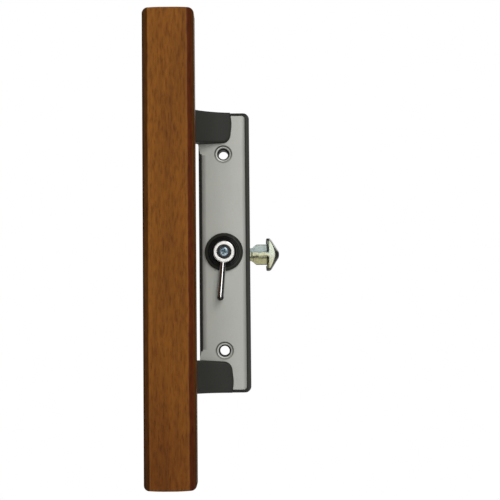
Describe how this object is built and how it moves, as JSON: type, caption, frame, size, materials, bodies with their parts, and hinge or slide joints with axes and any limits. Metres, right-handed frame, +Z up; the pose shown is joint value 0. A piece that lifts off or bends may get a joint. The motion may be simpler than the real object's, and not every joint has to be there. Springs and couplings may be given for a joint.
{
  "type": "sliding patio door handle",
  "caption": "Interior patio door handle: wooden grip on two arms, lock plate with a thumb lever, and a mushroom-headed latch bolt at its side.",
  "frame": {"origin": "midway between the two screw holes, on the door's face, which is also the thumb turn's axis", "axes": "+Z up along the grip, +X to the right as seen from the room, +Y into the door"},
  "size_m": [0.0837, 0.057, 0.292],
  "materials": {
    "grip_wood": "satin lacquered mahogany brown",
    "charcoal_paint": "satin charcoal paint on a die casting",
    "silver_paint": "satin silver-grey",
    "black_plastic": "gloss black",
    "chrome_plate": "bright chrome",
    "dark_steel": "blackened",
    "zinc_steel": "zinc plated",
    "blue_zinc_steel": "blue zinc plated",
    "yellow_zinc": "pale yellow-green zinc plated casting"
  },
  "bodies": {
    "base": {"housing": "charcoal_paint", "wood_grip": "grip_wood", "face_plate": "silver_paint", "upper_bracket": "charcoal_paint", "lower_bracket": "charcoal_paint", "bracket_screws": "zinc_steel", "grip_screws": "zinc_steel", "turn_bezel": "black_plastic", "back_cover": "zinc_steel", "cover_screws": "zinc_steel"},
    "turn": {"thumb_lever": "chrome_plate", "lever_washer": "dark_steel", "lever_screw": "blue_zinc_steel", "spindle": "zinc_steel", "wave_washer": "zinc_steel", "drive_crank": "zinc_steel", "crank_pin": "zinc_steel", "crank_clip": "dark_steel"},
    "bolt": {"bolt_slide": "zinc_steel", "latch_bolt": "yellow_zinc", "bolt_rivets": "zinc_steel"}
  },
  "joints": [
    {"name": "thumb_turn", "type": "hinge", "parent": "base", "child": "turn", "pos_m": [0, 0, 0], "axis": [0, 1, 0], "range_deg": [0, 90]},
    {"name": "bolt_travel", "type": "slide", "parent": "base", "child": "bolt", "axis": [0, 0, 1], "range_m": [0, 0.008]}
  ],
  "couplings": [
    {"joint": "thumb_turn", "follows": "bolt_travel", "rad_per_m": 196.35}
  ]
}
